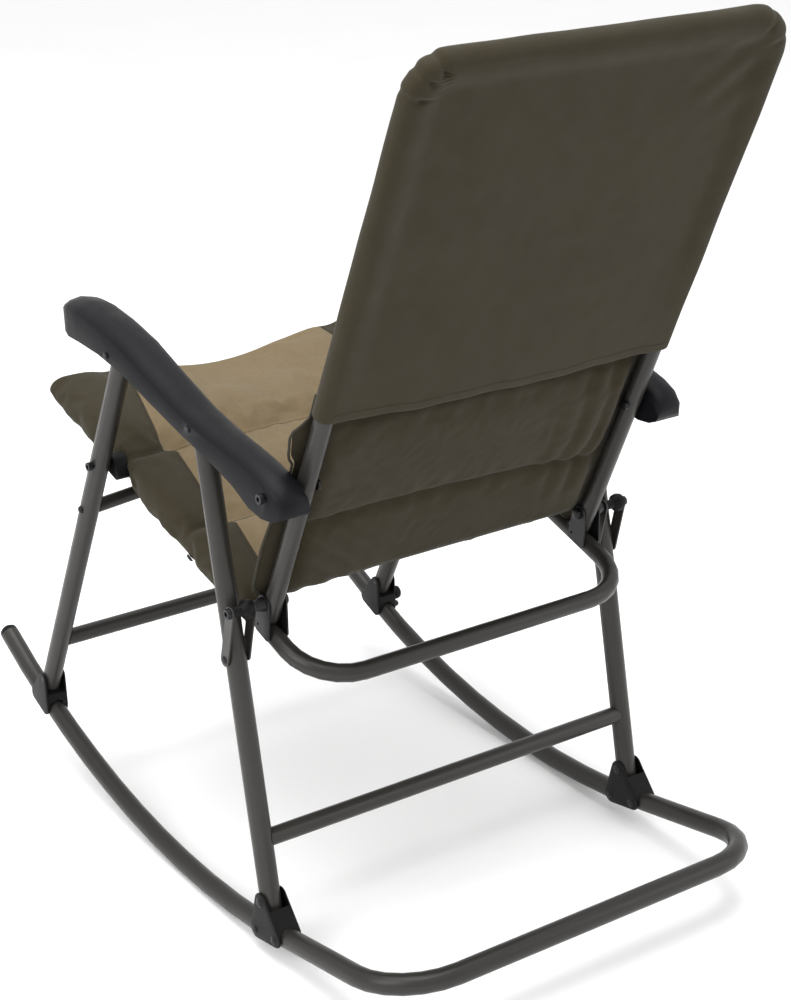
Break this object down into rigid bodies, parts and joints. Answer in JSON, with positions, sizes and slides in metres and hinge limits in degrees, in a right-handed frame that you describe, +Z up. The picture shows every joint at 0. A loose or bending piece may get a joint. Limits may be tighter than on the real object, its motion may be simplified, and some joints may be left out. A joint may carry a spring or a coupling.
{
  "type": "folding camp rocking chair",
  "caption": "Folding rocking chair with a steel tube frame on curved runners, moulded armrests, a padded seat and back, and a spring latch at one front foot.",
  "frame": {"origin": "on the floor midway between the two points where the runners touch it", "axes": "+Z up, the sitter faces -Y, the sitter's left is +X"},
  "size_m": [0.6199, 0.98, 1.1028],
  "materials": {
    "frame_paint": "satin",
    "hinge_steel": "satin",
    "fasteners": "satin",
    "arm_plastic": "satin",
    "bracket_plastic": "satin",
    "seat_fabric": "matte",
    "cover_fabric": "matte"
  },
  "bodies": {
    "rocker": {"bracket_rivet_left_front": "fasteners", "bracket_rivet_left_rear": "fasteners", "bracket_rivet_right_front": "fasteners", "bracket_rivet_right_rear": "fasteners", "rear_bracket_left": "bracket_plastic", "rear_bracket_right": "bracket_plastic", "rear_foot_pin_left": "fasteners", "rear_foot_pin_right": "fasteners", "rocker_base_tube": "frame_paint", "runner_cap_left": "arm_plastic", "runner_cap_right": "arm_plastic"},
    "rear_frame": {"rear_cross_bar": "frame_paint", "rear_leg_left": "frame_paint", "rear_leg_right": "frame_paint"},
    "arms": {"arm_bolt_left": "fasteners", "arm_bolt_right": "fasteners", "arm_pin_front_left": "fasteners", "arm_pin_front_right": "fasteners", "arm_pin_rear_left": "fasteners", "arm_pin_rear_right": "fasteners", "armrest_left": "arm_plastic", "armrest_right": "arm_plastic"},
    "front_frame": {"front_bracket_left": "bracket_plastic", "front_bracket_right": "bracket_plastic", "front_cross_bar": "frame_paint", "front_foot_pin_left": "fasteners", "front_foot_pin_right": "fasteners", "front_leg_left": "frame_paint", "front_leg_right": "frame_paint", "front_stretcher": "frame_paint", "latch_collar": "bracket_plastic", "latch_screw": "fasteners"},
    "back": {"back_cover": "cover_fabric", "back_pad": "cover_fabric", "back_tube": "frame_paint"},
    "seat": {"hinge_bolt_left": "fasteners", "hinge_bolt_right": "fasteners", "hinge_plate_inner_left": "hinge_steel", "hinge_plate_inner_right": "hinge_steel", "hinge_plate_outer_left": "hinge_steel", "hinge_plate_outer_right": "hinge_steel", "seat_pad": "seat_fabric", "seat_pivot_bolt_left": "fasteners", "seat_pivot_bolt_right": "fasteners", "seat_pivot_left": "bracket_plastic", "seat_pivot_right": "bracket_plastic", "seat_tube_front": "frame_paint", "seat_tube_rear": "frame_paint", "stop_roller_left": "bracket_plastic", "stop_roller_right": "bracket_plastic"},
    "links": {"link_inner_left": "frame_paint", "link_inner_right": "frame_paint", "link_outer_left": "frame_paint", "link_outer_right": "frame_paint", "link_stud_inner_left": "fasteners", "link_stud_inner_right": "fasteners", "link_stud_outer_left": "fasteners", "link_stud_outer_right": "fasteners"},
    "latch_pull": {"latch_knob": "arm_plastic"}
  },
  "joints": [
    {"name": "frame_tip_back", "type": "hinge", "parent": "rocker", "child": "rear_frame", "pos_m": [0, 0.1815, 0.0692], "axis": [-1, 0, 0], "range_deg": [0, 35]},
    {"name": "arm_swing", "type": "hinge", "parent": "rear_frame", "child": "arms", "pos_m": [0, 0.06, 0.629], "axis": [1, 0, 0], "range_deg": [-26, 0]},
    {"name": "fold", "type": "hinge", "parent": "arms", "child": "front_frame", "pos_m": [0, -0.1205, 0.6665], "axis": [1, 0, 0], "range_deg": [0, 51.5]},
    {"name": "back_fold", "type": "hinge", "parent": "arms", "child": "back", "pos_m": [0, 0.2105, 0.595], "axis": [1, 0, 0], "range_deg": [0, 52]},
    {"name": "seat_fold", "type": "hinge", "parent": "front_frame", "child": "seat", "pos_m": [0, -0.1985, 0.4987], "axis": [1, 0, 0], "range_deg": [-52, 0]},
    {"name": "link_swing", "type": "hinge", "parent": "seat", "child": "links", "pos_m": [0, 0.1325, 0.4272], "axis": [1, 0, 0], "range_deg": [-65, 0]},
    {"name": "latch_pull", "type": "slide", "parent": "front_frame", "child": "latch_pull", "axis": [-1, 0, 0], "range_m": [0, 0.008], "stiffness_N_per_m": 400, "springref_m": -0.004}
  ],
  "couplings": [
    {"joint": "arm_swing", "follows": "fold", "ratio": -0.50188},
    {"joint": "back_fold", "follows": "fold", "ratio": 1},
    {"joint": "seat_fold", "follows": "fold", "ratio": -1},
    {"joint": "link_swing", "follows": "fold", "ratio": -1.2437}
  ]
}
